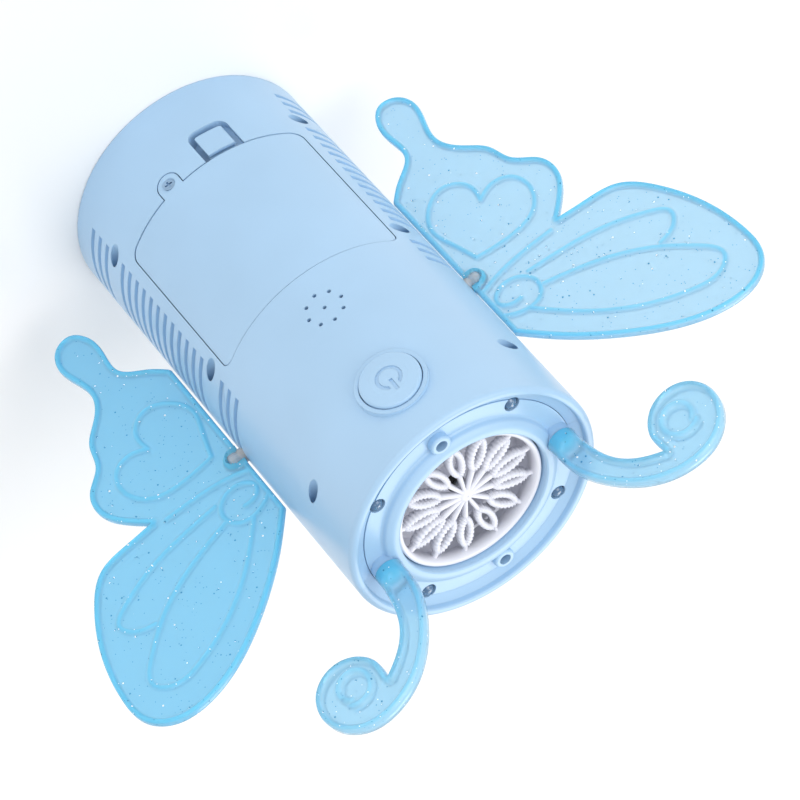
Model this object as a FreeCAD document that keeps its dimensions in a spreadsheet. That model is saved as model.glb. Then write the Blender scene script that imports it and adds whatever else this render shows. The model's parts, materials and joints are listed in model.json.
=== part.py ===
import FreeCAD, Part
import math
import os
import re

import Sketcher
from FreeCAD import Placement, Rotation, Vector

# Bubble machine shaped as an upright drum with butterfly wings and curled antennae, in millimetres.
# Z is the drum's axis and the base stands on Z = 0. The service side, with the power button and the
# battery cover, faces -Y. The wings lie in the plane Y = 0.

DRIVING = {
    "body_radius": 44.0, "body_height": 173.3, "wall": 2.2, "fit_gap": 0.3, "run_gap": 0.05,
    "dish_radius": 37.4, "dish_floor": 170.3, "mouth_radius": 26.3, "collar_radius": 31.5,
    "led_circle": 35.7, "led_radius": 2.4, "boss_circle": 33.0, "boss_radius": 4.4,
    "socket_radius": 1.95, "boss_top": 173.2, "spare_boss_radius": 3.5, "spare_boss_top": 172.9,
    "button_height": 150.8, "button_radius": 9.9, "button_bore": 10.2, "ring_radius": 11.7,
    "speaker_height": 112.0, "speaker_radius": 10.0, "grille_circle": 6.1, "grille_hole": 0.65,
    "screw_across": 36.9, "screw_pitch": 62.5, "screw_low": 25.0, "screw_hole": 2.3,
    "cover_low": 34.5, "cover_high": 96.0, "cover_half": 33.5, "cover_corner": 3.0,
    "tab_across": 11.0, "tab_height": 31.5, "tab_half": 4.0, "latch_across": -9.4,
    "latch_half": 6.9, "latch_low": 20.7,
    "slit_pitch": 4.65, "slit_width": 1.8, "slit_depth": 1.1, "slit_start": 56.6, "slit_end": 88.2,
    "slit_low": 10.0, "slit_middle": 30.0, "slit_high": 93.8,
    "tray_half": 32.0, "tray_back": 14.5, "tray_low": 33.0, "tray_high": 97.5, "tray_wall": 1.7,
    "cell_radius": 7.25, "cell_length": 50.5, "cell_pitch": 14.8, "cell_depth": 24.0,
    "tub_radius": 27.2, "tub_floor": 155.0, "tub_rim": 164.8,
    "wheel_radius": 25.9, "wheel_top": 169.3, "hub_radius": 2.7, "petal_length": 12.8,
    "petal_width": 7.4, "shaft_radius": 1.5, "pin_radius": 1.0,
    "gear_module": 0.5, "motor_radius": 10.0, "plate_level": 142.9,
    "fan_across": 14.0, "fan_level": 105.0, "fan_radius": 20.0, "impeller_radius": 16.0,
    "duct_half": 8.0, "duct_front": 14.5, "duct_back": 23.0,
    "peg_height": 103.5, "peg_radius": 2.6, "wing_root": 44.8, "wing_web": 1.4, "wing_rib": 2.6,
    "wing_rim": 3.2, "wing_rim_width": 2.2, "wing_rib_width": 1.5, "socket_shell": 4.1,
    "antenna_foot": 173.5, "antenna_thick": 5.4, "antenna_web": 2.8, "antenna_turn": 8.5,
}

doc = FreeCAD.newDocument("BubbleMachine")
sheet = doc.addObject("Spreadsheet::Sheet", "Sizes")
for row, (alias, size) in enumerate(DRIVING.items(), start=1):
    sheet.set(f"A{row}", alias)
    sheet.set(f"B{row}", str(size))
    sheet.setAlias(f"B{row}", alias)
doc.recompute()

UP = Vector(0, 0, 1)
TO_SERVICE = Vector(0, -1, 0)
TO_FRONT = Vector(0, 1, 0)
TO_RIGHT = Vector(1, 0, 0)
TO_LEFT = Vector(-1, 0, 0)
SERVICE_SIDE, FRONT_SIDE = -1, 1
NODES = []


# ---- Formulas bound to the sheet ----

def bound(text):
    """Turns the sheet's names inside a formula into references that an expression can follow."""
    names = "|".join(sorted(DRIVING, key=len, reverse=True))
    return re.sub(rf"\b({names})\b", r"Sizes.\1", str(text))


def size(text):
    """Value of a formula, worked out with the sheet's sizes."""
    found = sheet.evalExpression(bound(text))
    return float(getattr(found, "Value", found))


def at_circle(circle, degrees):
    around = math.radians(degrees)
    return f"{circle} * {math.cos(around):.6f}", f"{circle} * {math.sin(around):.6f}"


def bind(item, **formulas):
    for name, text in formulas.items():
        item.setExpression(name, bound(text))
    return item


def place(item, at=(0, 0, 0), towards=UP, turn=0):
    """Puts an item's own Z along a direction and binds its position to formulas."""
    spin = Rotation(UP, turn)
    item.Placement = Placement(Vector(0, 0, 0), Rotation(UP, towards).multiply(spin))
    for axis, text in zip("xyz", at):
        item.setExpression(f".Placement.Base.{axis}", bound(text))
    return item


def node(item, label):
    item.Label = label
    NODES.append(item)
    return item


# ---- Primitives and booleans ----

def cylinder(radius, height, at=(0, 0, 0), towards=UP, angle=None, turn=0):
    item = bind(doc.addObject("Part::Cylinder", "Cylinder"), Radius=radius, Height=height)
    if angle is not None:
        bind(item, Angle=angle)
    return place(item, at, towards, turn)


def box(low, high):
    """Box between two corners given as formulas."""
    item = doc.addObject("Part::Box", "Box")
    spans = [f"({b}) - ({a})" for a, b in zip(low, high)]
    bind(item, Length=spans[0], Width=spans[1], Height=spans[2])
    return place(item, low)


def cut(base, *tools):
    item = doc.addObject("Part::Cut", "Cut")
    item.Base = base
    item.Tool = tools[0] if len(tools) == 1 else fuse(*tools)
    return item


def fuse(*pieces):
    item = doc.addObject("Part::MultiFuse", "Fuse")
    item.Shapes = list(pieces)
    return item


def common(*pieces):
    item = doc.addObject("Part::MultiCommon", "Common")
    item.Shapes = list(pieces)
    return item


def group(pieces):
    """Several separate solids kept together as one node."""
    item = doc.addObject("Part::Compound", "Group")
    item.Links = list(pieces)
    return item


def tube(outer, inner, low, high, at=("0", "0")):
    return cut(
        cylinder(outer, f"({high}) - ({low})", (at[0], at[1], low)),
        cylinder(inner, f"({high}) - ({low})", (at[0], at[1], low)),
    )


# ---- Sketched features ----

def origin_plane(body, role):
    return next(f for f in body.Origin.OriginFeatures if f.Role == role)


def outline_sketch(body, points):
    """Closed outline in the XZ plane with every corner bound to its two formulas."""
    sketch = body.newObject("Sketcher::SketchObject", "Outline")
    sketch.AttachmentSupport = [(origin_plane(body, "XZ_Plane"), "")]
    sketch.MapMode = "FlatFace"
    add_loop(sketch, points)
    return sketch


def add_loop(sketch, points):
    corners = [Vector(size(x), size(y), 0) for x, y in points]
    first = sketch.GeometryCount
    count = len(corners)
    for n in range(count):
        sketch.addGeometry(Part.LineSegment(corners[n], corners[(n + 1) % count]), False)
    for n in range(count):
        nearest = first + (n + 1) % count
        sketch.addConstraint(Sketcher.Constraint("Coincident", first + n, 2, nearest, 1))
    for n, (x, y) in enumerate(points):
        for kind, text, value in (("DistanceX", x, corners[n].x), ("DistanceY", y, corners[n].y)):
            found = sketch.addConstraint(Sketcher.Constraint(kind, -1, 1, first + n, 1, value))
            sketch.setExpression(f"Constraints[{found}]", bound(text))


def turned(section, sweep=360, rounds=()):
    """Body turned about Z from (radius, height) corners; rounds are ((radius, height), fillet)."""
    body = doc.addObject("PartDesign::Body", "Turned")
    sketch = outline_sketch(body, section)
    feature = body.newObject("PartDesign::Revolution", "Revolution")
    feature.Profile = sketch
    feature.ReferenceAxis = (sketch, ["V_Axis"])
    feature.Angle = sweep
    body.Tip = feature
    doc.recompute()
    for (radius, height), fillet in rounds:
        feature = rounded(body, feature, size(radius), size(height), fillet)
    return body


def rounded(body, feature, radius, height, fillet):
    """Fillets the circular edge at one corner of a turned section."""
    names = []
    for number, edge in enumerate(feature.Shape.Edges, start=1):
        curve = edge.Curve
        if isinstance(curve, Part.Circle) and abs(curve.Axis.z) > 0.99:
            if abs(curve.Radius - radius) < 0.01 and abs(curve.Center.z - height) < 0.01:
                names.append(f"Edge{number}")
    result = body.newObject("PartDesign::Fillet", "Rounded")
    result.Base = (feature, names)
    bind(result, Radius=fillet)
    body.Tip = result
    doc.recompute()
    return result


# ---- Casing ----

def slit_levels():
    """Lower edges of the side slits, in groups that leave room for the screw holes."""
    groups = (("slit_low", 3), ("slit_middle", 12), ("slit_high", 3))
    return [size(start) + n * size("slit_pitch") for start, count in groups for n in range(count)]


def half_casing(side):
    """Half drum with its lip, its base ledge and the slits on both flanks."""
    section = [
        ("body_radius - wall", 0), ("body_radius", 0), ("body_radius", "body_height"),
        ("body_radius - 2.9", "body_height"), ("body_radius - 3.2", "body_height - 1.9"),
        ("dish_radius + 0.15", "dish_floor - 0.3"), ("dish_radius + 0.15", "dish_floor - 2.1"),
        ("body_radius - 3.6", "dish_floor - 2.1"), ("body_radius - wall", "dish_floor - 3.6"),
        ("body_radius - wall", 4.2), ("body_radius - 3.8", 4.2), ("body_radius - 3.8", 2.6),
        ("body_radius - wall", 2.6),
    ]
    rounds = [
        (("body_radius", "body_height"), "1.6"), (("body_radius", 0), "0.6"),
        (("body_radius - 2.9", "body_height"), "0.8"),
    ]
    body = turned(section, 180, rounds)
    for start in ("90 - slit_end", "90 + slit_start"):
        cut_slits(body, size(start))
    body.Placement = Placement(Vector(0, 0, 0), Rotation(UP, 0 if side == FRONT_SIDE else 180))
    return body


def cut_slits(body, start):
    """Shallow horizontal grooves round one flank, starting at an angle measured from +X."""
    sketch = body.newObject("Sketcher::SketchObject", "Slits")
    sketch.AttachmentSupport = [(origin_plane(body, "XZ_Plane"), "")]
    sketch.MapMode = "FlatFace"
    sketch.AttachmentOffset = Placement(Vector(0, 0, 0), Rotation(Vector(0, 1, 0), start))
    for level in slit_levels():
        add_loop(sketch, [
            ("body_radius - slit_depth", level), ("body_radius + 1", level - 0.25),
            ("body_radius + 1", f"{level} + slit_width + 0.25"),
            ("body_radius - slit_depth", f"{level} + slit_width"),
        ])
    groove = body.newObject("PartDesign::Groove", "Slit")
    groove.Profile = sketch
    groove.ReferenceAxis = (sketch, ["V_Axis"])
    bind(groove, Angle="slit_end - slit_start")
    body.Tip = groove
    doc.recompute()


def screw_places():
    return [
        (side, f"screw_low + {step} * screw_pitch") for side in (-1, 1) for step in (0, 1, 2)
    ]


def casing_bosses(direction, start):
    """Screw posts that run from near the seam to the wall, trimmed to the drum."""
    posts = [
        cylinder(3.4, 30, (f"{side} * screw_across", start, level), direction)
        for side, level in screw_places()
    ]
    return common(fuse(*posts), cylinder("body_radius - 1", "body_height"))


def peg_holes():
    return cylinder("peg_radius", "2 * body_radius + 4", ("-body_radius - 2", 0, "peg_height"), TO_RIGHT)


def drilled_places():
    """Places of the speaker grille's holes as (x, z) formulas."""
    places = [(0, "speaker_height")]
    for number in range(8):
        across, along = at_circle("grille_circle", 45 * number)
        places.append((across, f"speaker_height + {along}"))
    return places


def led_holes():
    """Holes for the four lights, which nick the seam between the dish and the casing."""
    return fuse(*[
        cylinder("led_radius + 0.2", 12, (*at_circle("led_circle", 90 * quarter + 45), "dish_floor - 5"))
        for quarter in range(4)
    ])


def service_shell():
    inner = common(
        fuse(
            cylinder("button_bore + 1.2", 4, (0, "-body_radius + 3.6", "button_height"), TO_SERVICE),
            cylinder("speaker_radius + 1.6", 8, (0, -35.2, "speaker_height"), TO_SERVICE),
            cylinder(2.8, 8, ("tab_across", -36.3, "tab_height"), TO_SERVICE),
            box(
                ("latch_across - latch_half - 1.2", "-body_radius + 1", "latch_low - 1.2"),
                ("latch_across + latch_half + 1.2", "-body_radius + 7.4", "cover_low + 2"),
            ),
        ),
        cylinder("body_radius - 1", "body_height"),
    )
    ring = cylinder("ring_radius", 4.3, (0, "-body_radius + 3.4", "button_height"), TO_SERVICE)
    whole = fuse(cut(half_casing(SERVICE_SIDE), led_holes()), casing_bosses(TO_SERVICE, 0), ring, inner)
    holes = [
        cylinder("button_bore", 14, (0, "-body_radius + 6", "button_height"), TO_SERVICE),
        cylinder("speaker_radius + 0.1", 5.2, (0, -35, "speaker_height"), TO_SERVICE),
        cylinder(1.5, 12, ("tab_across", -36, "tab_height"), TO_SERVICE),
    ]
    for across, level in drilled_places():
        holes.append(cylinder("grille_hole", 12, (across, -36, level), TO_SERVICE))
    for side, level in screw_places():
        across = f"{side} * screw_across"
        holes.append(cylinder("screw_hole", 30, (across, -10.4, level), TO_SERVICE))
        holes.append(cylinder(1.1, 12, (across, 0, level), TO_SERVICE))
    tab_seat = common(
        tube("body_radius + 1", "body_radius - 1.9", 0, "body_height"),
        tab_outline("tab_half + fit_gap", "cover_low + 1"),
    )
    finger_recess = eased_block(
        ("latch_across - latch_half", "-body_radius - 3", "latch_low"),
        ("latch_across + latch_half", "-body_radius + 6.2", "cover_low + 1"), 3.4,
    )
    opening = rounded_block("cover_half", "cover_low", "cover_high")
    shell = cut(whole, *holes)
    for tool in (opening, peg_holes(), tab_seat, finger_recess):
        shell = cut(shell, tool)
    return node(shell, "service_shell")


def rounded_block(half, low, high):
    """Upright block with rounded corners in X and Z that passes through the service side."""
    block = box((f"-({half})", "-body_radius - 4", low), (half, -12, high))
    doc.recompute()
    item = doc.addObject("Part::Fillet", "RoundedBlock")
    item.Base = block
    item.Edges = [
        (number, size("cover_corner"), size("cover_corner"))
        for number, edge in enumerate(block.Shape.Edges, start=1)
        if abs(edge.Length - block.Width.Value) < 0.01
    ]
    return item


def eased_block(low, high, radius):
    """Block whose two lower corners are rounded in X and Z."""
    block = box(low, high)
    doc.recompute()
    item = doc.addObject("Part::Fillet", "EasedBlock")
    item.Base = block
    item.Edges = [
        (number, radius, radius) for number, edge in enumerate(block.Shape.Edges, start=1)
        if abs(edge.Length - block.Width.Value) < 0.01 and abs(edge.CenterOfMass.z - size(low[2])) < 0.01
    ]
    return item


def tab_outline(half, high):
    """Round-ended block that outlines the cover's screw tab, running up to a level."""
    return fuse(
        box((f"tab_across - ({half})", -50, "tab_height"), (f"tab_across + {half}", -30, high)),
        cylinder(half, 20, ("tab_across", -30, "tab_height"), TO_SERVICE),
    )


def front_shell():
    whole = [cut(half_casing(FRONT_SIDE), led_holes()), casing_bosses(TO_FRONT, 0)]
    shelf = box((-12, 25, "fan_level - 1.8"), (12, "body_radius", "fan_level"))
    whole.append(common(shelf, cylinder("body_radius - 1", "body_height")))
    tools = [peg_holes()]
    for side, level in screw_places():
        tools.append(cylinder(1.1, 9, (f"{side} * screw_across", 0, level), TO_FRONT))
    return node(cut(fuse(*whole), *tools), "front_shell")


def base_plate():
    section = [(0, 0), ("body_radius - wall - 0.1", 0), ("body_radius - wall - 0.1", 2.5), (0, 2.5)]
    return node(turned(section), "base_plate")


def cross_recess(width, depth, at, towards):
    """Cross-shaped driver recess sunk from a screw head's face."""
    bars = []
    for turn in (0, 90):
        bar = bind(doc.addObject("Part::Box", "Bar"), Length=width, Width=0.6, Height=depth)
        spin = Rotation(UP, towards).multiply(Rotation(UP, turn))
        offset = spin.multVec(Vector(-size(width) / 2, -0.3, 0))
        bar.Placement = Placement(Vector(), spin)
        for axis, text, shift in zip("xyz", at, offset):
            bar.setExpression(f".Placement.Base.{axis}", bound(f"({text}) + ({shift:.6f})"))
        bars.append(bar)
    return fuse(*bars)


def case_screws():
    screws = []
    for side, level in screw_places():
        at = (f"{side} * screw_across", -10.4, level)
        head = cylinder(2.1, 1.6, at, TO_SERVICE)
        shank = cylinder(1.05, 18.4, at, TO_FRONT)
        face = (at[0], -11.2, level)
        screws.append(cut(fuse(head, shank), cross_recess(2.6, 1.0, face, TO_SERVICE)))
    return node(group(screws), "case_screws")


# ---- Battery bay ----

def battery_cover():
    """Curved cover with a screw tab, a folded latch tongue and two hooks behind the top edge."""
    skin = tube("body_radius - 0.15", "body_radius - 1.8", 0, "body_height")
    panel = common(skin, rounded_block("cover_half - 0.25", "cover_low + 0.4", "cover_high - 0.2"))
    doc.recompute()
    thinned = doc.addObject("Part::Chamfer", "ClearedEdge")
    thinned.Base = panel
    thinned.Edges = [
        (number, 1.0, 1.0) for number, edge in enumerate(panel.Shape.Edges, start=1)
        if isinstance(edge.Curve, Part.Circle) and abs(edge.Curve.Radius - size("body_radius") + 1.8) < 0.01
        and edge.CenterOfMass.z < size("cover_low") + 1
    ]
    tab = common(
        tube("body_radius - 0.15", "body_radius - 1.6", 0, "body_height"),
        tab_outline("tab_half", "cover_low + 3"),
    )
    hooks = []
    for side in (-1, 1):
        low, high = sorted((side * 6, side * 12))
        hooks.append(box((low, -41.0, "cover_high - 6"), (high, -38, "cover_high - 0.6")))
        hooks.append(box((low, -39.6, "cover_high - 1"), (high, -38, "cover_high + 2.6")))
    countersink = bind(doc.addObject("Part::Cone", "Countersink"), Radius1=1.3, Radius2=2.35, Height=1.5)
    place(countersink, ("tab_across", "-body_radius + 2.9", "tab_height"), TO_SERVICE)
    bore = cylinder(1.25, 9, ("tab_across", -38, "tab_height"), TO_SERVICE)
    mouth = cylinder(2.35, 4, ("tab_across", "-body_radius + 1.4", "tab_height"), TO_SERVICE)
    whole = fuse(thinned, tab, *latch_tongue(), *hooks)
    return node(cut(whole, bore, countersink, mouth), "battery_cover")


def latch_tongue():
    """Springy tongue folded like a U: down behind the cover's edge and back up as a thumb pad."""
    layers = (
        ("body_radius - 0.4", "body_radius - 1.5", "latch_low + 2.2", "cover_low - 2.0"),
        ("body_radius - 0.4", "body_radius - 3.2", "latch_low + 2.2", "latch_low + 3.4"),
        ("body_radius - 2.3", "body_radius - 3.2", "latch_low + 2.2", "cover_low + 2.2"),
        ("body_radius - 0.6", "body_radius - 3.2", "cover_low + 0.8", "cover_low + 2.2"),
    )
    return [
        common(
            tube(outer, inner, 0, "body_height"),
            eased_block(("latch_across - 4.8", -50, low), ("latch_across + 4.8", -30, high), 0.9),
        )
        for outer, inner, low, high in layers
    ]


def cover_screw():
    at = ("tab_across", "-body_radius + 2.9", "tab_height")
    head = bind(doc.addObject("Part::Cone", "Head"), Radius1=1.2, Radius2=2.2, Height=1.4)
    place(head, at, TO_SERVICE)
    shank = cylinder(1.2, 4.6, at, TO_FRONT)
    face = ("tab_across", "-body_radius + 2.1", "tab_height")
    return node(cut(fuse(head, shank), cross_recess(2.6, 1.0, face, TO_SERVICE)), "cover_screw")


def battery_tray():
    outer = common(
        box(("-tray_half", -36, "tray_low"), ("tray_half", "-tray_back", "tray_high")),
        cylinder("body_radius - wall", "body_height"),
    )
    pocket = box(
        ("-tray_half + tray_wall", -50, "tray_low + 4.4"),
        ("tray_half - tray_wall", "-tray_back - tray_wall", "tray_high - 4.4"),
    )
    return node(cut(outer, pocket), "battery_tray")


CELL_LOW = "0.5 * (tray_low + tray_high - cell_length)"
CELL_ROWS = (-1.5, -0.5, 0.5, 1.5)


def battery_cells():
    """Four cells side by side, with their raised ends up and down in turn."""
    cells = []
    for number, row in enumerate(CELL_ROWS):
        across = f"{row} * cell_pitch"
        can = cylinder("cell_radius", "cell_length - 1.4", (across, "-cell_depth", f"{CELL_LOW} + {1.4 * (number % 2)}"))
        button_level = f"{CELL_LOW} + cell_length - 1.6" if number % 2 == 0 else CELL_LOW
        cells.append(fuse(can, cylinder(2.7, 1.6, (across, "-cell_depth", button_level))))
    return node(group(cells), "battery_cells")


def coil_rings(radius, wire, turns, length, at, axis):
    """Coils of a spring as closed rings of round wire, evenly spaced along X, Y or Z from a place."""
    rings = []
    for number in range(turns):
        ring = bind(doc.addObject("Part::Torus", "Coil"), Radius1=radius, Radius2=wire)
        centre = list(at)
        centre[axis] = f"({at[axis]}) + ({length}) * {number} / {turns - 1}"
        direction = Vector(*(1 if n == axis else 0 for n in range(3)))
        rings.append(place(ring, centre, direction))
    return rings


def battery_springs():
    """Contact springs, at the lower end of every other cell and at the upper end of the rest."""
    free = "0.5 * (tray_high - tray_low - cell_length) - 5.7"
    rings = []
    for number, row in enumerate(CELL_ROWS):
        level = "tray_low + 5.3" if number % 2 == 0 else f"tray_high - 5.3 - ({free})"
        rings += coil_rings(3.2, 0.35, 3, free, (f"{row} * cell_pitch", "-cell_depth", level), 2)
    return node(group(rings), "battery_springs")


def contact_plates():
    plates = []
    for row in CELL_ROWS:
        low, high = f"{row} * cell_pitch - 5.5", f"{row} * cell_pitch + 5.5"
        for level in ("tray_low + 4.4", "tray_high - 4.9"):
            plates.append(box((low, "-cell_depth - 5.5", level), (high, "-cell_depth + 5.5", f"{level} + 0.5")))
    return node(group(plates), "contact_plates")


# ---- Button, boards and speaker ----

def power_button():
    """Domed cap with a sunk power mark, a retaining flange and a short stem."""
    section = [
        (0, 0), (1.8, 0), (1.8, 0.2), ("button_radius + 1.7", 0.2), ("button_radius + 1.7", 1.0),
        ("button_radius", 1.0), ("button_radius", 6.9), ("0.62 * button_radius", 7.55), (0, 7.75),
    ]
    cap = turned(section, 360, [(("button_radius", 6.9), "0.9")])
    ring = tube(4.3, 3.2, 7.2, 9)
    gap = box((-1.7, 0, 7), (1.7, 5, 9))
    bar = box((-0.55, 0.8, 7.2), (0.55, 5.4, 9))
    pressed = cut(cap, cut(ring, gap), bar)
    seat = place(pressed, (0, -39.1, "button_height"), TO_SERVICE)
    facing = Rotation(Vector(1, 0, 0), Vector(0, 0, 1), TO_SERVICE, "ZXY")
    seat.Placement = Placement(seat.Placement.Base, facing)
    return node(seat, "power_button")


def button_spring():
    return node(group(coil_rings(6.2, 0.3, 4, 5.4, (0, -38.8, "button_height"), 1)), "button_spring")


def main_board():
    return node(box((-20, -33, 106), (20, -31.4, 161)), "main_board")


def control_chip():
    chip = box((-3.5, -31.4, 128), (3.5, -29.6, 134))
    parts = [chip]
    for across in (-14, -9, 9, 14):
        parts.append(cylinder(1.6, 3.2, (across, -31.4, 120), TO_FRONT))
    return node(group(parts), "board_components")


def push_switch():
    case = box((-3, -36.8, "button_height - 3"), (3, -33, "button_height + 3"))
    return node(fuse(case, cylinder(1.6, 0.8, (0, -36.8, "button_height"), TO_SERVICE)), "push_switch")


def speaker():
    rim = tube("speaker_radius", "speaker_radius - 1", 0, 5)
    frame = fuse(rim, cylinder("speaker_radius", 1, (0, 0, 0)), cylinder(5, 2.6))
    frame = place(frame, (0, -35, "speaker_height"), TO_SERVICE)
    return node(frame, "speaker_frame")


def speaker_cone():
    section = [
        (0, 2.8), (4.2, 2.8), ("speaker_radius - 1.1", 4.4), ("speaker_radius - 1.1", 4.8), (4.0, 3.3),
        (0, 3.3),
    ]
    return node(place(turned(section), (0, -35, "speaker_height"), TO_SERVICE), "speaker_cone")


# ---- Top dish, lights and tub ----

def top_dish():
    """Annular dish with a rounded collar round the mouth and four sockets on bosses."""
    section = [
        ("mouth_radius", "tub_rim"), ("tub_radius", "tub_rim"), ("tub_radius", "dish_floor - 0.6"),
        ("tub_radius + 1.6", "dish_floor + 0.6"), ("collar_radius - 1.6", "dish_floor - 1.6"),
        ("dish_radius", "dish_floor - 1.6"), ("dish_radius", "dish_floor"), ("collar_radius", "dish_floor"),
        ("collar_radius - 0.7", "dish_floor + 1.7"), ("collar_radius - 2.6", "dish_floor + 2.8"),
        ("mouth_radius", "dish_floor + 2.8"),
    ]
    rounds = [
        (("collar_radius - 0.7", "dish_floor + 1.7"), "1.6"), (("collar_radius", "dish_floor"), "0.9"),
        (("collar_radius - 2.6", "dish_floor + 2.8"), "3"), (("mouth_radius", "dish_floor + 2.8"), "0.7"),
    ]
    pieces = [turned(section, 360, rounds)]
    tools = []
    for quarter in range(4):
        x, y = at_circle("boss_circle", 90 * quarter)
        kind = "spare_boss" if quarter % 2 else "boss"
        outline = [
            (0, "dish_floor - 1.6"), (f"{kind}_radius", "dish_floor - 1.6"), (f"{kind}_radius", f"{kind}_top"),
            (0, f"{kind}_top"),
        ]
        boss = turned(outline, 360, [((f"{kind}_radius", f"{kind}_top"), "0.8")])
        pieces.append(place(boss, (x, y, 0)))
        tools.append(cylinder("socket_radius", 12, (x, y, "dish_floor - 5")))
    tools.append(led_holes())
    mouth = cylinder("mouth_radius", 20, (0, 0, "tub_rim - 2"))
    inside = cylinder("dish_radius", "body_height + 2")
    return node(cut(common(fuse(*pieces), inside), mouth, *tools), "top_dish")


def led_lenses():
    lenses = []
    for quarter in range(4):
        dome = turned([(0, 0), ("led_radius", 0), ("led_radius", 6.8), (0, 6.8)], 360,
                      [(("led_radius", 6.8), "led_radius - 0.1")])
        lenses.append(place(dome, (*at_circle("led_circle", 90 * quarter + 45), 164.0)))
    return node(group(lenses), "led_lenses")


def led_board():
    return node(tube("body_radius - 3.6", "tub_radius + 1.2", 162.8, 164), "led_board")


def bubble_tub():
    """Shallow cup under the wheel, with a shaft boss and an air outlet that stands above the liquid."""
    section = [
        (1.6, "tub_floor"), ("tub_radius", "tub_floor"), ("tub_radius", "tub_rim"),
        ("tub_radius - 1.6", "tub_rim"), ("tub_radius - 1.6", "tub_floor + 1.6"), (3.2, "tub_floor + 1.6"),
        (3.2, "tub_floor + 6"), (1.6, "tub_floor + 6"),
    ]
    cup = turned(section, 360, [(("tub_radius", "tub_floor"), "1.0")])
    tower = box(("-duct_half", "duct_front", "tub_floor"), ("duct_half", "duct_back", "tub_rim - 1.3"))
    bore = box(
        ("-duct_half + 1.2", "duct_front + 1.2", "tub_floor - 1"),
        ("duct_half - 1.2", "duct_back - 1.2", "tub_rim"),
    )
    pin_seat = cylinder("pin_radius", 0.8, (IDLER_X, 0, "tub_floor"))
    return node(cut(fuse(cup, tower), bore, pin_seat), "bubble_tub")


def shaft_seal():
    return node(tube(3.0, "shaft_radius + run_gap", "tub_floor + 6", "tub_floor + 7.6"), "shaft_seal")


# ---- Wand wheel and its gear train ----

PETALS = 13


def petal_face(width, inner, outer):
    """Pointed oval between two radii, drawn along +X."""
    middle = 0.5 * (inner + outer)
    upper = Part.Arc(Vector(inner, 0, 0), Vector(middle, width / 2, 0), Vector(outer, 0, 0)).toShape()
    lower = Part.Arc(Vector(outer, 0, 0), Vector(middle, -width / 2, 0), Vector(inner, 0, 0)).toShape()
    return Part.Face(Part.Wire([upper, lower]))


def wand_wheel():
    """Rim, hub and thirteen looped petals with a toothed edge, moulded as one piece."""
    top = size("wheel_top")
    depth = 3.6
    rim = size("wheel_radius")
    loop_start, loop_end = 9.6, 9.6 + size("petal_length")
    half = size("petal_width")
    pieces = [
        Part.makeCylinder(rim, depth + 1.7, Vector(0, 0, top - depth)).cut(
            Part.makeCylinder(rim - 1.7, depth + 1.7, Vector(0, 0, top - depth))
        ),
        Part.makeCylinder(size("hub_radius"), 5, Vector(0, 0, top - 5)),
    ]
    for number in range(PETALS):
        hollow = petal_face(half - 4, loop_start + 2.3, loop_end - 2.3)
        loop = petal_face(half, loop_start, loop_end).cut(hollow)
        teeth = []
        for step in range(2, 15):
            share = step / 16
            along = loop_start + share * (loop_end - loop_start)
            bow = half / 2 * (1 - (2 * share - 1) ** 2) + 0.1
            for side in (-1, 1):
                teeth.append(Part.Face(Part.Wire(Part.Circle(Vector(along, side * bow, 0), UP, 0.3).toShape())))
        flat = loop.fuse(teeth)
        solid = flat.extrude(Vector(0, 0, depth))
        spoke = Part.makeBox(loop_start - 1.4, 1.3, depth * 0.6, Vector(2, -0.65, 0))
        stem = Part.makeBox(rim - 0.8 - loop_end + 0.5, 1.2, depth * 0.6, Vector(loop_end - 0.5, -0.6, 0))
        petal = solid.fuse([spoke, stem])
        petal.translate(Vector(0, 0, top - depth))
        petal.rotate(Vector(0, 0, 0), UP, 180 + number * 360 / PETALS)
        pieces.append(petal)
    wheel = pieces[0].fuse(pieces[1:])
    wheel = wheel.cut(Part.makeCylinder(size("shaft_radius"), 4, Vector(0, 0, top - 5)))
    item = doc.addObject("Part::Feature", "WandWheel")
    item.Shape = wheel
    return node(item, "wand_wheel")


def wheel_shaft():
    shaft = cylinder("shaft_radius", "wheel_top - 1 - plate_level - 1.6", (0, 0, "plate_level + 1.6"))
    return node(shaft, "wheel_shaft")


def gear_outline(teeth, module, phase):
    """Toothed outline with straight flanks, thinned so that a pair runs with backlash."""
    pitch = teeth * module / 2
    root, tip = pitch - 1.2 * module, pitch + 0.8 * module
    step = 360 / teeth
    corners = []
    for number in range(teeth):
        centre = phase + number * step
        for radius, share in ((root, -0.3), (tip, -0.13), (tip, 0.13), (root, 0.3)):
            around = math.radians(centre + share * step)
            corners.append(Vector(radius * math.cos(around), radius * math.sin(around), 0))
    return Part.Face(Part.makePolygon(corners + corners[:1]))


def gear_solid(teeth, low, high, phase, bore):
    blank = gear_outline(teeth, size("gear_module"), phase).extrude(Vector(0, 0, high - low))
    blank.translate(Vector(0, 0, low))
    return blank.cut(Part.makeCylinder(bore, high - low, Vector(0, 0, low)))


OUTPUT_TEETH, IDLER_SMALL, IDLER_LARGE, PINION_TEETH = 48, 12, 40, 10


def gear_item(solid, at, label):
    item = doc.addObject("Part::Feature", "Gear")
    item.Shape = solid
    place(item, at)
    return node(item, label)


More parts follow.
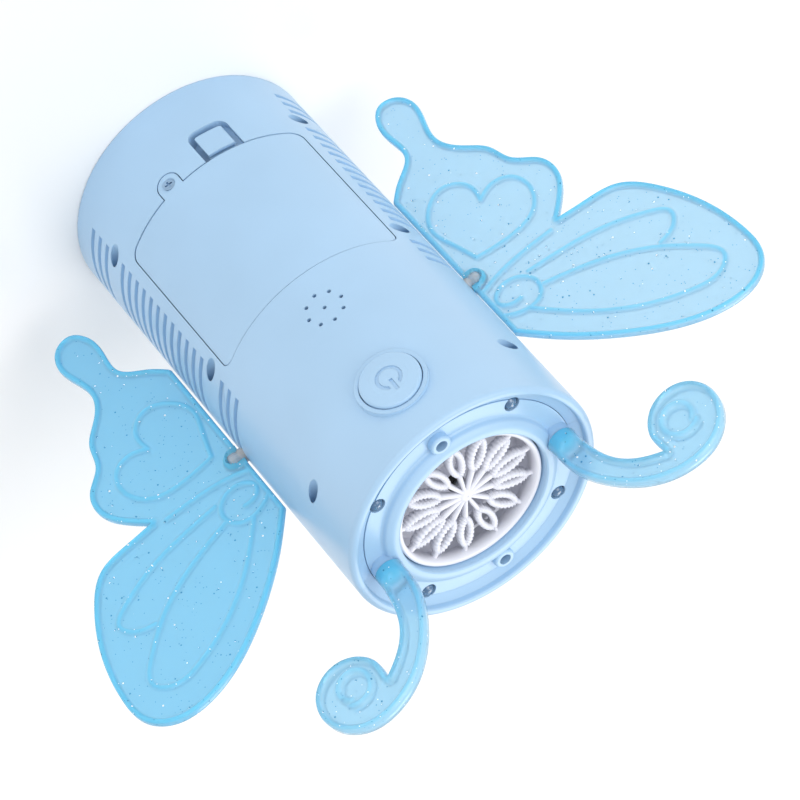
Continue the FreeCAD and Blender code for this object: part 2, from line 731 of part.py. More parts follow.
def gear_train():
    """Pinion, compound idler and output gear, in line along -X from the wheel's shaft."""
    base = size("plate_level")
    shaft = size("shaft_radius")
    pin = size("pin_radius")
    output = gear_solid(OUTPUT_TEETH, base + 6.6, base + 9.6, 180, shaft)
    hub = Part.makeCylinder(3.6, 1.6, Vector(0, 0, base + 9.6)).cut(
        Part.makeCylinder(shaft, 1.6, Vector(0, 0, base + 9.6))
    )
    gear_item(output.fuse(hub), (0, 0, 0), "output_gear")
    small = gear_solid(IDLER_SMALL, base + 5.1, base + 10.4, 180 / IDLER_SMALL, pin + size("run_gap"))
    large = gear_solid(IDLER_LARGE, base + 2.1, base + 5.1, 180, pin + size("run_gap"))
    gear_item(small.fuse(large), (IDLER_X, 0, 0), "idler_gear")
    pinion = gear_solid(PINION_TEETH, base + 2.3, base + 5.3, 180 / PINION_TEETH, pin)
    gear_item(pinion, (PINION_X, 0, 0), "motor_pinion")


IDLER_X = f"-{(OUTPUT_TEETH + IDLER_SMALL) / 2} * gear_module"
PINION_X = f"-{(OUTPUT_TEETH + IDLER_SMALL + IDLER_LARGE + PINION_TEETH) / 2} * gear_module"


def gearbox_plate():
    slab = box((-34, -14.2, "plate_level"), (16, 14.2, "plate_level + 1.6"))
    posts = [
        cylinder(2, "tub_floor - plate_level - 1.6", (x, y, "plate_level + 1.6"))
        for x, y in ((-22, -12.3), (-22, 12.3), (13.5, -11.5), (13.5, 11.5))
    ]
    bearing = cylinder(3, 3.2, (0, 0, "plate_level + 1.6"))
    tools = [
        cylinder("shaft_radius + run_gap", 5, (0, 0, "plate_level + 1.6")),
        cylinder("pin_radius", 2, (IDLER_X, 0, "plate_level")),
        cylinder(3.2, 2, (PINION_X, 0, "plate_level")),
    ]
    return node(cut(fuse(slab, bearing, *posts), *tools), "gearbox_plate")


def idler_pin():
    return node(cylinder("pin_radius", "tub_floor + 0.8 - plate_level", (IDLER_X, 0, "plate_level")), "idler_pin")


def motor_can(across, along, top):
    """Small direct-current motor with a raised bearing boss and a shaft hole."""
    can = cylinder("motor_radius", 25.4, (across, along, f"{top} - 25.4"))
    boss = cylinder(3, 1.4, (across, along, top))
    hole = cylinder("pin_radius + run_gap", 8, (across, along, f"{top} - 6.6"))
    return cut(fuse(can, boss), hole)


def motors():
    node(motor_can(PINION_X, 0, "plate_level"), "wand_motor")
    node(cylinder("pin_radius", 11, (PINION_X, 0, "plate_level - 5.6")), "wand_motor_shaft")
    node(motor_can(0, "fan_across", "fan_level"), "fan_motor")
    node(cylinder("pin_radius", 15, (0, "fan_across", "fan_level - 5.6")), "fan_motor_shaft")


# ---- Air supply ----

def fan_housing():
    centre = ("0", "fan_across")
    wall = tube("fan_radius", "fan_radius - 1.5", "fan_level", "fan_level + 17", centre)
    floor = cylinder("fan_radius", 1.5, (0, "fan_across", "fan_level"))
    roof = cylinder("fan_radius", 1.5, (0, "fan_across", "fan_level + 15.5"))
    tools = [cylinder(3.3, 3, (0, "fan_across", "fan_level - 1"))]
    for number in range(6):
        around = math.radians(60 * number + 30)
        tools.append(cylinder(
            1.5, 3,
            (f"12.6 * {math.cos(around):.6f}", f"fan_across + 12.6 * {math.sin(around):.6f}", "fan_level - 1"),
        ))
    tools.append(box(
        ("-duct_half + 1.2", "duct_front + 1.2", "fan_level + 10"),
        ("duct_half - 1.2", "duct_back - 1.2", "fan_level + 20"),
    ))
    return node(cut(fuse(wall, floor, roof), *tools), "fan_housing")


def fan_impeller():
    """Disc with straight blades and a hub pressed on the motor's shaft."""
    disc = cylinder("impeller_radius", 1.2, (0, 0, 0))
    hub = cylinder(3.2, 6.4)
    pieces = [disc, hub]
    for number in range(10):
        blade = bind(doc.addObject("Part::Box", "Blade"), Length="impeller_radius - 5", Width=0.9, Height=9)
        spin = Rotation(UP, 36 * number)
        blade.Placement = Placement(spin.multVec(Vector(4.5, -0.45, 0.6)), spin)
        pieces.append(blade)
    wheel = cut(fuse(*pieces), cylinder("pin_radius", 8, (0, 0, -0.5)))
    return node(place(wheel, (0, "fan_across", "fan_level + 3")), "fan_impeller")


def air_duct():
    outer = box(("-duct_half", "duct_front", "fan_level + 17"), ("duct_half", "duct_back", "tub_floor"))
    inner = box(
        ("-duct_half + 1.2", "duct_front + 1.2", "fan_level + 16"),
        ("duct_half - 1.2", "duct_back - 1.2", "tub_floor + 1"),
    )
    return node(cut(outer, inner), "air_duct")


# ---- Wings and antennae ----

def spline(points):
    line = Part.BSplineCurve()
    line.interpolate([Vector(x, 0, z) for x, z in points])
    return line


def run(points, shift=0, arcs=24):
    """Smooth run of tangent-like arcs along the spline through some points, at an offset from it."""
    line = spline(points)
    first, last = line.FirstParameter, line.LastParameter
    places = []
    for step in range(2 * arcs + 1):
        at = first + (last - first) * step / (2 * arcs)
        along = line.tangent(at)[0]
        places.append(line.value(at) + Vector(-along.z, 0, along.x) * shift)
    return places, [arc(*places[2 * n:2 * n + 3]) for n in range(arcs)]


def arc(start, middle, end):
    """Arc through three places, or a line where they are almost in line."""
    chord = end - start
    if (middle - start).cross(chord).Length < 1e-3 * chord.Length:
        return Part.makeLine(start, end)
    return Part.Arc(start, middle, end).toShape()


def band(points, left, right, arcs=24):
    """Flat ribbon in the XZ plane along a run, between two offsets from it, with round ends."""
    left_places, left_edges = run(points, left, arcs)
    right_places, right_edges = run(points, right, arcs)
    edges = left_edges + right_edges
    for end, next_to_end in ((0, 1), (-1, -2)):
        start, finish = left_places[end], right_places[end]
        centre = (start + finish) / 2
        outward = centre - (left_places[next_to_end] + right_places[next_to_end]) / 2
        outward.normalize()
        edges.append(arc(start, centre + outward * (finish - start).Length / 2, finish))
    return Part.Face(Part.Wire(Part.__sortEdges__(edges)))


def slab(face, thickness):
    solid = face.extrude(Vector(0, thickness, 0))
    solid.translate(Vector(0, -thickness / 2, 0))
    return solid


# Outlines of the left wing as (x, z): from the root's top round the large lobe to the notch, then
# round the lower lobe with its tail back to the root's foot.
LARGE_LOBE = [
    (-44.8, 130.4), (-54.2, 142.0), (-69.0, 156.0), (-84.0, 166.3), (-100.0, 171.8), (-111.5, 170.6),
    (-118.6, 164.2), (-120.5, 152.0), (-118.0, 135.5), (-110.8, 117.9), (-101.2, 107.0), (-90.0, 104.8),
    (-80.6, 103.9),
]
LOWER_LOBE = [
    (-80.6, 103.9), (-86.8, 97.2), (-91.1, 89.5), (-89.8, 79.5), (-83.4, 72.5), (-80.6, 63.5), (-74.0, 55.5),
    (-70.2, 48.0), (-71.4, 38.5), (-73.0, 29.0), (-69.3, 21.9), (-63.6, 20.7), (-58.9, 26.0), (-58.1, 36.5),
    (-57.8, 45.5), (-50.3, 52.5), (-44.8, 58.3),
]
WING_VEINS = [
    [(-45.3, 110.4), (-52.0, 108.2), (-63.0, 106.5), (-76.0, 106.2)],
    [(-53.7, 125.7), (-66.8, 141.0), (-80.1, 151.6), (-94.6, 158.4), (-105.5, 159.2), (-110.0, 155.0),
     (-105.1, 145.4), (-95.1, 136.0), (-80.1, 127.4), (-62.5, 121.5)],
    [(-98.2, 136.5), (-105.1, 133.8), (-107.6, 129.0), (-101.8, 123.5), (-85.0, 117.0), (-61.6, 113.9)],
    [(-46.2, 122.4), (-52.1, 125.5), (-58.9, 124.7), (-61.5, 118.6), (-57.3, 113.0), (-50.3, 113.0),
     (-47.5, 117.0), (-51.0, 120.5), (-54.2, 120.6)],
    [(-52.6, 97.0), (-64.8, 98.2), (-75.9, 95.5), (-81.0, 86.4), (-78.0, 78.0), (-72.0, 76.4), (-66.5, 78.8)],
    [(-66.5, 78.8), (-66.6, 70.8), (-60.1, 65.4), (-52.0, 69.2), (-47.9, 77.8), (-49.6, 86.0), (-52.6, 97.0)],
]


LOWER_ROOT = (LOWER_LOBE[-1][0], 0, LOWER_LOBE[-1][1])
UPPER_ROOT = (LARGE_LOBE[0][0], 0, LARGE_LOBE[0][1])


def wing_solid():
    """Webbed left wing with a raised rim, veins, a heart and a sleeve open in front for its peg."""
    rim_width, rib_width = size("wing_rim_width"), size("wing_rib_width")
    root = Part.makeLine(Vector(*LOWER_ROOT), Vector(*UPPER_ROOT))
    border = run(LARGE_LOBE, 0, 32)[1] + run(LOWER_LOBE, 0, 44)[1] + [root]
    outline = Part.Face(Part.Wire(border))
    rims = [band(LARGE_LOBE, 0, rim_width, 32), band(LOWER_LOBE, 0, rim_width, 44)]
    rims.append(band([LOWER_LOBE[-1], (LARGE_LOBE[0][0], 90.0), LARGE_LOBE[0]], 0, 1.5, 4))
    veins = [band(points, -rib_width / 2, rib_width / 2) for points in WING_VEINS]
    rim_face = rims[0].fuse(rims[1:]).common(outline)
    vein_face = veins[0].fuse(veins[1:]).common(outline)
    solid = slab(outline, size("wing_web"))
    solid = solid.fuse([slab(rim_face, size("wing_rim")), slab(vein_face, size("wing_rib"))])
    height, shell = size("peg_height"), size("socket_shell")
    root = size("wing_root")
    sleeve = Part.makeCylinder(shell, 2.4, Vector(-root, 0, height), TO_LEFT)
    sleeve = sleeve.fuse(Part.makeSphere(shell, Vector(-root - 2.4, 0, height)))
    sleeve = sleeve.common(Part.makeBox(20, 20, 20, Vector(-root - 20, -10, height - 10)))
    bore_radius = size("peg_radius + run_gap")
    bore = Part.makeCylinder(bore_radius, 5.2, Vector(-root + 0.2, 0, height), TO_LEFT)
    window = Part.makeBox(2.9, 6, 5.6, Vector(-root - 2.3, -6, height - 2.8))
    window = window.fuse(Part.makeCylinder(2.8, 6, Vector(-root - 2.3, -6, height), TO_FRONT))
    return solid.fuse(sleeve).cut(bore).cut(window)


def wings():
    left = wing_solid()
    for label, solid in (("wing_left", left), ("wing_right", left.mirror(Vector(0, 0, 0), TO_RIGHT))):
        item = doc.addObject("Part::Feature", "Wing")
        item.Shape = solid
        node(item, label)


def wing_peg(side, label):
    """Clear peg held by its head behind the casing's seam, ringed with two snap beads."""
    section = [
        (0, 0), (4.2, 0), (4.2, 1.8), ("peg_radius", 1.8), ("peg_radius", 5.6), ("peg_radius - 0.4", 6.0),
        ("peg_radius - 0.4", 6.8), ("peg_radius", 7.2), ("peg_radius", 9.0), ("peg_radius - 0.9", 9.9), (0, 9.9),
    ]
    towards = TO_RIGHT if side > 0 else TO_LEFT
    return node(place(turned(section), (f"{side} * 39.6", 0, "peg_height"), towards), label)


# Outline of the left antenna as (outward reach, z): up the outer edge and round the curl to the
# cusp, then back down the inner edge.
ANTENNA_OUTER = [
    (-4.6, 177.0), (-4.0, 184.6), (0.0, 195.0), (6.2, 203.5), (14.5, 210.0), (24.0, 213.1), (33.5, 212.3),
    (41.2, 206.3), (43.6, 199.0), (40.8, 190.7), (33.5, 186.9), (24.7, 189.2), (20.3, 195.5), (20.4, 203.0),
]
ANTENNA_INNER = [(20.4, 203.0), (15.0, 199.8), (9.5, 194.4), (6.4, 187.9), (5.1, 181.3), (4.6, 177.0)]
ANTENNA_CURL = [(34.8, 203.8), (28.6, 203.4), (24.9, 198.2), (27.2, 192.6), (33.2, 192.0), (36.2, 196.6), (33.4, 199.8)]


def antenna_solid():
    """Curled feeler with raised rims, a round foot and a plug that turns in the dish's socket."""
    foot = size("antenna_foot")
    (foot_right, foot_level), (foot_left, _) = ANTENNA_INNER[-1], ANTENNA_OUTER[0]
    floor = Part.makeLine(Vector(foot_right, 0, foot_level), Vector(foot_left, 0, foot_level))
    border = run(ANTENNA_OUTER, 0, 32)[1] + run(ANTENNA_INNER, 0, 12)[1] + [floor]
    outline = Part.Face(Part.Wire(border))
    rims = [band(ANTENNA_OUTER, -2.1, 0, 32), band(ANTENNA_INNER, -1.9, 0, 12)]
    rims.append(band(ANTENNA_CURL, -0.8, 0.8, 16))
    rim_face = rims[0].fuse(rims[1:]).common(outline)
    solid = slab(outline, size("antenna_web")).fuse(slab(rim_face, size("antenna_thick")))
    stand = Part.makeCylinder(4.9, 5.5, Vector(0, 0, foot))
    stand = stand.fuse(Part.makeSphere(4.9, Vector(0, 0, foot + 5.5)))
    stand = stand.common(Part.makeBox(20, 20, 12, Vector(-10, -10, foot)))
    plug = Part.makeCylinder(size("socket_radius - run_gap"), 7.5, Vector(0, 0, foot - 7))
    return solid.fuse([stand, plug])


def antennae():
    feeler = antenna_solid()
    for label, side, turn in (("antenna_left", -1, 180), ("antenna_right", 1, 0)):
        item = doc.addObject("Part::Feature", "Antenna")
        item.Shape = feeler
        place(item, (f"{side} * boss_circle", 0, 0), UP, turn + size("antenna_turn"))
        node(item, label)


# ---- Assembly ----

service_shell()
front_shell()
base_plate()
case_screws()
battery_cover()
cover_screw()
battery_tray()
battery_cells()
battery_springs()
contact_plates()
power_button()
button_spring()
main_board()
control_chip()
push_switch()
speaker()
speaker_cone()
top_dish()
led_lenses()
led_board()
bubble_tub()
shaft_seal()
wand_wheel()
wheel_shaft()
gear_train()
gearbox_plate()
idler_pin()
motors()
fan_housing()
fan_impeller()
air_duct()
wings()
wing_peg(-1, "wing_peg_left")
wing_peg(1, "wing_peg_right")
antennae()
doc.recompute()

for item in doc.Objects:
    if "Invalid" in item.State or "Error" in item.State:
        raise RuntimeError(f"{item.Name} ({item.Label}) failed: {item.State}")
for item in NODES:
    if item.Shape.isNull() or not item.Shape.isValid() or not item.Shape.Solids:
        raise RuntimeError(f"{item.Label} has no valid solid")

os.makedirs("parts", exist_ok=True)
for item in NODES:
    item.Shape.exportStep(f"parts/{item.Label}.step")
print(len(NODES), "nodes written")
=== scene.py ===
"""Bubble machine with butterfly wings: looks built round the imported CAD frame, in metres."""
import json
import math

import bmesh
import bpy
import numpy as np
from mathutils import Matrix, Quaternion, Vector
from mathutils.geometry import delaunay_2d_cdt


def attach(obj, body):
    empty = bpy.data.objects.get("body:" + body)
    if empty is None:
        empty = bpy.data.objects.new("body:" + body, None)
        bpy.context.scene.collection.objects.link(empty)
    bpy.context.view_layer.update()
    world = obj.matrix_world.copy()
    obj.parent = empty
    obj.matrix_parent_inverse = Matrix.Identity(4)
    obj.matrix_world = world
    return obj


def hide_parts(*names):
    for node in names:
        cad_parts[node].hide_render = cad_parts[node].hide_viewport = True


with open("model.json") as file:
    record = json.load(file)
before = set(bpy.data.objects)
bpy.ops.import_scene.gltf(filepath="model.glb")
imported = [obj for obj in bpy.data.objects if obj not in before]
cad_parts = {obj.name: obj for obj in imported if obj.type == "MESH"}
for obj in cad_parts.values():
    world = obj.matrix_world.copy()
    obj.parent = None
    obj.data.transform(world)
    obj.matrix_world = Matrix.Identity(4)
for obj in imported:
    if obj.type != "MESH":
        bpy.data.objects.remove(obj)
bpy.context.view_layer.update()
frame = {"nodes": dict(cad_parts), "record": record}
MM = 0.001


# ---- Curves through given places, in millimetres ----

def smooth_curve(points, count):
    """Natural cubic spline through the points, spaced by their distances, at count places."""
    knots = np.array(points, float)
    steps = np.linalg.norm(np.diff(knots, axis=0), axis=1)
    at = np.concatenate([[0], np.cumsum(steps)])
    size = len(knots)
    matrix = np.eye(size)
    right = np.zeros((size, 2))
    for n in range(1, size - 1):
        matrix[n, n - 1:n + 2] = steps[n - 1], 2 * (steps[n - 1] + steps[n]), steps[n]
        right[n] = 6 * ((knots[n + 1] - knots[n]) / steps[n] - (knots[n] - knots[n - 1]) / steps[n - 1])
    bend = np.linalg.solve(matrix, right)
    place = np.linspace(0, at[-1], count)
    span = np.clip(np.searchsorted(at, place) - 1, 0, size - 2)
    width = steps[span][:, None]
    left = ((at[span + 1] - place))[:, None]
    past = (place - at[span])[:, None]
    return (
        bend[span] * left ** 3 / (6 * width) + bend[span + 1] * past ** 3 / (6 * width)
        + (knots[span] / width - bend[span] * width / 6) * left
        + (knots[span + 1] / width - bend[span + 1] * width / 6) * past
    )


def distance_to(places, line):
    """Distance from each place to a polyline."""
    nearest = np.full(len(places), np.inf)
    for a, b in zip(line[:-1], line[1:]):
        along = b - a
        share = np.clip(((places - a) @ along) / max(along @ along, 1e-12), 0, 1)
        nearest = np.minimum(nearest, np.linalg.norm(places - (a + share[:, None] * along), axis=1))
    return nearest


def inside(places, loop):
    """Which places lie inside a closed loop."""
    x, y = places[:, 0], places[:, 1]
    found = np.zeros(len(places), bool)
    for (ax, ay), (bx, by) in zip(loop, np.roll(loop, -1, axis=0)):
        crosses = (ay > y) != (by > y)
        rise = by - ay if abs(by - ay) > 1e-12 else 1e-12
        found ^= crosses & (x < (bx - ax) * (y - ay) / rise + ax)
    return found


def bump_up(distance, half_width):
    """Rounded ridge profile, 1 on its line and 0 at its half width."""
    share = np.clip(distance / half_width, 0, 1)
    return 0.5 + 0.5 * np.cos(math.pi * share)


def relief_plate(name, loop, faces_at, spacing, insets):
    """Closed plate in the XZ plane, its mesh denser along its edge. faces_at(places) gives how far
    the -Y and +Y faces stand out. Corners are in millimetres; the mesh is in metres."""
    low, high = loop.min(0), loop.max(0)
    xs = np.arange(low[0], high[0], spacing)
    ys = np.arange(low[1], high[1], spacing * 0.866)
    grid = np.array([
        (x + (row % 2) * spacing / 2, y) for row, y in enumerate(ys) for x in xs
    ])
    grid = grid[inside(grid, loop)]
    edge_gap = distance_to(grid, np.vstack([loop, loop[:1]]))
    grid = grid[edge_gap > max(insets) + 0.4 * spacing]
    forward = np.roll(loop, -1, axis=0) - np.roll(loop, 1, axis=0)
    forward /= np.linalg.norm(forward, axis=1)[:, None]
    inward = np.stack([forward[:, 1], -forward[:, 0]], 1)
    if not inside(loop[:1] + inward[:1] * 0.05, loop)[0]:
        inward = -inward
    rings = []
    for inset in insets:
        ring = loop + inward * inset
        gap = distance_to(ring, np.vstack([loop, loop[:1]]))
        rings.append(ring[(gap > inset * 0.93) & inside(ring, loop)])
    corners = np.vstack([loop] + rings + [grid])
    border = [(n, (n + 1) % len(loop)) for n in range(len(loop))]
    flat, _, faces, *_ = delaunay_2d_cdt([Vector(c) for c in corners], border, [], 1, 1e-5)
    flat = np.array([tuple(v) for v in flat])
    service, front = faces_at(flat)
    count = len(flat)
    mesh_corners = [(x * MM, -t * MM, z * MM) for (x, z), t in zip(flat, service)]
    mesh_corners += [(x * MM, t * MM, z * MM) for (x, z), t in zip(flat, front)]
    mesh_faces = [tuple(f) for f in faces] + [tuple(n + count for n in reversed(f)) for f in faces]
    seen = {}
    for face in faces:
        for a, b in zip(face, list(face[1:]) + [face[0]]):
            seen[(a, b)] = True
    for a, b in seen:
        if (b, a) not in seen:
            mesh_faces.append((b, a, a + count, b + count))
    mesh = bpy.data.meshes.new(name)
    mesh.from_pydata(mesh_corners, [], mesh_faces)
    build = bmesh.new()
    build.from_mesh(mesh)
    bmesh.ops.recalc_face_normals(build, faces=build.faces)
    build.to_mesh(mesh)
    build.free()
    thick = mesh.attributes.new("thickness", "FLOAT", "POINT")
    thick.data.foreach_set("value", np.concatenate([service, front]).astype(np.float32))
    mesh.shade_smooth()
    piece = bpy.data.objects.new(name, mesh)
    bpy.context.scene.collection.objects.link(piece)
    return piece


# ---- Node materials ----

def new_material(name):
    """A node material, its tree and its main surface."""
    material = bpy.data.materials.new(name)
    material.use_nodes = True
    tree = material.node_tree
    return material, tree, tree.nodes["Principled BSDF"]


def add(tree, kind, inputs=None, **settings):
    """A node with its settings made and its inputs linked or set."""
    node = tree.nodes.new(kind)
    for key, value in settings.items():
        setattr(node, key, value)
    for key, value in (inputs or {}).items():
        if isinstance(value, bpy.types.NodeSocket):
            tree.links.new(value, node.inputs[key])
        else:
            node.inputs[key].default_value = value
    return node


def object_place(tree):
    return add(tree, "ShaderNodeTexCoord").outputs["Object"]


def noise(tree, place, scale, detail=3.0, rough=0.5):
    return add(tree, "ShaderNodeTexNoise", {
        "Vector": place, "Scale": scale, "Detail": detail, "Roughness": rough,
    })


def ramp(tree, factor, *stops):
    """Colour ramp from (position, colour) stops."""
    node = add(tree, "ShaderNodeValToRGB", {"Fac": factor})
    elements = node.color_ramp.elements
    while len(elements) < len(stops):
        elements.new(0.5)
    for element, (position, colour) in zip(elements, stops):
        element.position = position
        element.color = (*colour, 1)
    return node.outputs["Color"]


def spread(tree, factor, low, high):
    """Takes a 0 to 1 factor to low to high."""
    node = add(tree, "ShaderNodeMapRange", {"Value": factor, "To Min": low, "To Max": high})
    return node.outputs["Result"]


def shade(colour, by):
    """The colour made darker or lighter."""
    return tuple(min(1.0, c * by) for c in colour)


def moulded(
    name, colour, roughness=0.34, grain=0.03, variation=0.035, speck=1800.0, soft_edges=0.0, **sockets,
):
    """Injection-moulded plastic: faint colour drift, satin roughness, fine grain, eased edges."""
    material, tree, surface = new_material(name)
    place = object_place(tree)
    drift = noise(tree, place, 22.0, 2.0)
    darker, lighter = shade(colour, 1 - variation), shade(colour, 1 + variation)
    tone = ramp(tree, drift.outputs["Fac"], (0.3, darker), (0.7, lighter))
    tree.links.new(tone, surface.inputs["Base Color"])
    handling = noise(tree, place, 90.0, 4.0, 0.6)
    satin = spread(tree, handling.outputs["Fac"], roughness - 0.07, roughness + 0.09)
    tree.links.new(satin, surface.inputs["Roughness"])
    fine = noise(tree, place, speck, 2.0)
    wave = noise(tree, place, 35.0, 2.0)
    both = add(tree, "ShaderNodeMath", {0: fine.outputs["Fac"], 1: wave.outputs["Fac"]}, operation="ADD")
    relief = add(tree, "ShaderNodeBump", {"Height": both.outputs[0], "Strength": grain, "Distance": 0.0006})
    if soft_edges:
        eased = add(tree, "ShaderNodeBevel", {"Radius": soft_edges}, samples=4)
        tree.links.new(eased.outputs["Normal"], relief.inputs["Normal"])
    tree.links.new(relief.outputs["Normal"], surface.inputs["Normal"])
    for key, value in sockets.items():
        surface.inputs[key.replace("_", " ")].default_value = value
    return material


def metal(name, colour, roughness=0.3, stretch=(1, 1, 14)):
    """Drawn or plated metal with fine lines along Z and slight tarnish."""
    material, tree, surface = new_material(name)
    place = object_place(tree)
    lined = add(tree, "ShaderNodeMapping", {"Vector": place, "Scale": stretch})
    lines = noise(tree, lined.outputs["Vector"], 900.0, 3.0)
    tarnish = noise(tree, place, 160.0, 3.0)
    tone = ramp(tree, tarnish.outputs["Fac"], (0.35, shade(colour, 0.82)), (0.65, colour))
    tree.links.new(tone, surface.inputs["Base Color"])
    worn = spread(tree, lines.outputs["Fac"], roughness - 0.08, roughness + 0.12)
    tree.links.new(worn, surface.inputs["Roughness"])
    relief = add(tree, "ShaderNodeBump", {
        "Height": lines.outputs["Fac"], "Strength": 0.15, "Distance": 0.0001,
    })
    tree.links.new(relief.outputs["Normal"], surface.inputs["Normal"])
    surface.inputs["Metallic"].default_value = 1.0
    return material


def glitter_plastic(name, panel, rim, web, full, clearness):
    """Translucent tinted plastic, deeper where it is thicker, full of tiny bright and dark flakes."""
    material, tree, surface = new_material(name)
    place = object_place(tree)
    depth = add(tree, "ShaderNodeAttribute", attribute_name="thickness")
    cloud = noise(tree, place, 30.0, 2.0)
    drift = spread(tree, cloud.outputs["Fac"], -0.12, 0.12)
    thick = add(tree, "ShaderNodeMapRange", {
        "Value": depth.outputs["Fac"], "From Min": web, "From Max": full,
    })
    deep = add(tree, "ShaderNodeMath", {0: thick.outputs["Result"], 1: drift}, operation="ADD")
    middle = tuple(0.35 * a + 0.65 * b for a, b in zip(panel, rim))
    tint = ramp(tree, deep.outputs[0], (0.12, panel), (0.5, middle), (1.0, rim))
    flake = None
    for scale, limit, share in ((520.0, 0.17, 0.80), (1100.0, 0.2, 0.86)):
        flakes = add(tree, "ShaderNodeTexVoronoi", {"Vector": place, "Scale": scale, "Randomness": 1.0})
        distance = flakes.outputs["Distance"]
        near = add(tree, "ShaderNodeMath", {0: distance, 1: limit}, operation="LESS_THAN")
        dice = add(tree, "ShaderNodeSeparateColor", {"Color": flakes.outputs["Color"]})
        chosen = add(tree, "ShaderNodeMath", {0: dice.outputs["Red"], 1: share}, operation="GREATER_THAN")
        both = add(tree, "ShaderNodeMath", {0: near.outputs[0], 1: chosen.outputs[0]}, operation="MULTIPLY")
        if flake is None:
            flake = both.outputs[0]
        else:
            either = add(tree, "ShaderNodeMath", {0: flake, 1: both.outputs[0]}, operation="MAXIMUM")
            flake = either.outputs[0]
        bright = add(tree, "ShaderNodeMath", {0: dice.outputs["Green"], 1: 0.6}, operation="GREATER_THAN")
    sparkle = ramp(tree, bright.outputs[0], (0.0, (0.03, 0.20, 0.36)), (1.0, (1.0, 1.0, 1.0)))
    coloured = add(tree, "ShaderNodeMix", data_type="RGBA")
    tree.links.new(flake, coloured.inputs["Factor"])
    tree.links.new(tint, coloured.inputs[6])
    tree.links.new(sparkle, coloured.inputs[7])
    tree.links.new(coloured.outputs[2], surface.inputs["Base Color"])
    cloudy = spread(tree, thick.outputs["Result"], clearness, 0.3)
    plain = add(tree, "ShaderNodeMath", {0: 1.0, 1: flake}, operation="SUBTRACT")
    see_through = add(tree, "ShaderNodeMath", {0: cloudy, 1: plain.outputs[0]}, operation="MULTIPLY")
    tree.links.new(see_through.outputs[0], surface.inputs["Transmission Weight"])
    handling = noise(tree, place, 120.0, 3.0)
    tree.links.new(spread(tree, handling.outputs["Fac"], 0.14, 0.26), surface.inputs["Roughness"])
    ripple = noise(tree, place, 140.0, 2.0)
    relief = add(tree, "ShaderNodeBump", {
        "Height": ripple.outputs["Fac"], "Strength": 0.15, "Distance": 0.0006,
    })
    tree.links.new(relief.outputs["Normal"], surface.inputs["Normal"])
    surface.inputs["IOR"].default_value = 1.25
    surface.inputs["Coat Weight"].default_value = 0.7
    surface.inputs["Coat Roughness"].default_value = 0.1
    return material


def clear_plastic(name, tint, roughness):
    """Clear moulded plastic with a little cloudiness."""
    material, tree, surface = new_material(name)
    place = object_place(tree)
    cloud = noise(tree, place, 120.0, 2.0)
    tone = ramp(tree, cloud.outputs["Fac"], (0.3, shade(tint, 0.94)), (0.7, tint))
    tree.links.new(tone, surface.inputs["Base Color"])
    satin = spread(tree, cloud.outputs["Fac"], roughness, roughness + 0.08)
    tree.links.new(satin, surface.inputs["Roughness"])
    relief = add(tree, "ShaderNodeBump", {
        "Height": cloud.outputs["Fac"], "Strength": 0.1, "Distance": 0.0004,
    })
    tree.links.new(relief.outputs["Normal"], surface.inputs["Normal"])
    surface.inputs["Transmission Weight"].default_value = 0.6
    surface.inputs["IOR"].default_value = 1.45
    return material


def led_resin_painted_light(name):
    """Blue epoxy. Its dark blue is partly painted shade of the dark hole seen through it, and its small pale
    spots are painted glints.
    """
    material, tree, surface = new_material(name)
    place = object_place(tree)
    inner = add(tree, "ShaderNodeTexVoronoi", {"Vector": place, "Scale": 900.0})
    # Pale spots at the cell middles are painted glints; the dark blue round them is partly painted shade of
    # the hole behind the resin.
    tone = ramp(tree, inner.outputs["Distance"], (0.1, (0.55, 0.74, 0.92)), (0.35, (0.10, 0.24, 0.44)))
    tree.links.new(tone, surface.inputs["Base Color"])
    grain = noise(tree, place, 500.0, 2.0)
    tree.links.new(spread(tree, grain.outputs["Fac"], 0.05, 0.2), surface.inputs["Roughness"])
    relief = add(tree, "ShaderNodeBump", {
        "Height": inner.outputs["Distance"], "Strength": 0.3, "Distance": 0.0004,
    })
    tree.links.new(relief.outputs["Normal"], surface.inputs["Normal"])
    surface.inputs["Transmission Weight"].default_value = 0.35
    surface.inputs["Coat Weight"].default_value = 1.0
    return material


CASING_BLUE = (0.40, 0.61, 0.83)
RIM_BLUE = (0.16, 0.66, 0.95)
PANEL_BLUE = (0.52, 0.80, 0.98)
# Deeper panel blue for the +X wing only: painted shade, since both wings are the same plastic and differ only
# in how light falls through them.
PAINTED_SHADE_PANEL_BLUE = (0.30, 0.71, 0.96)
ANTENNA_BLUE = (0.46, 0.79, 0.99)

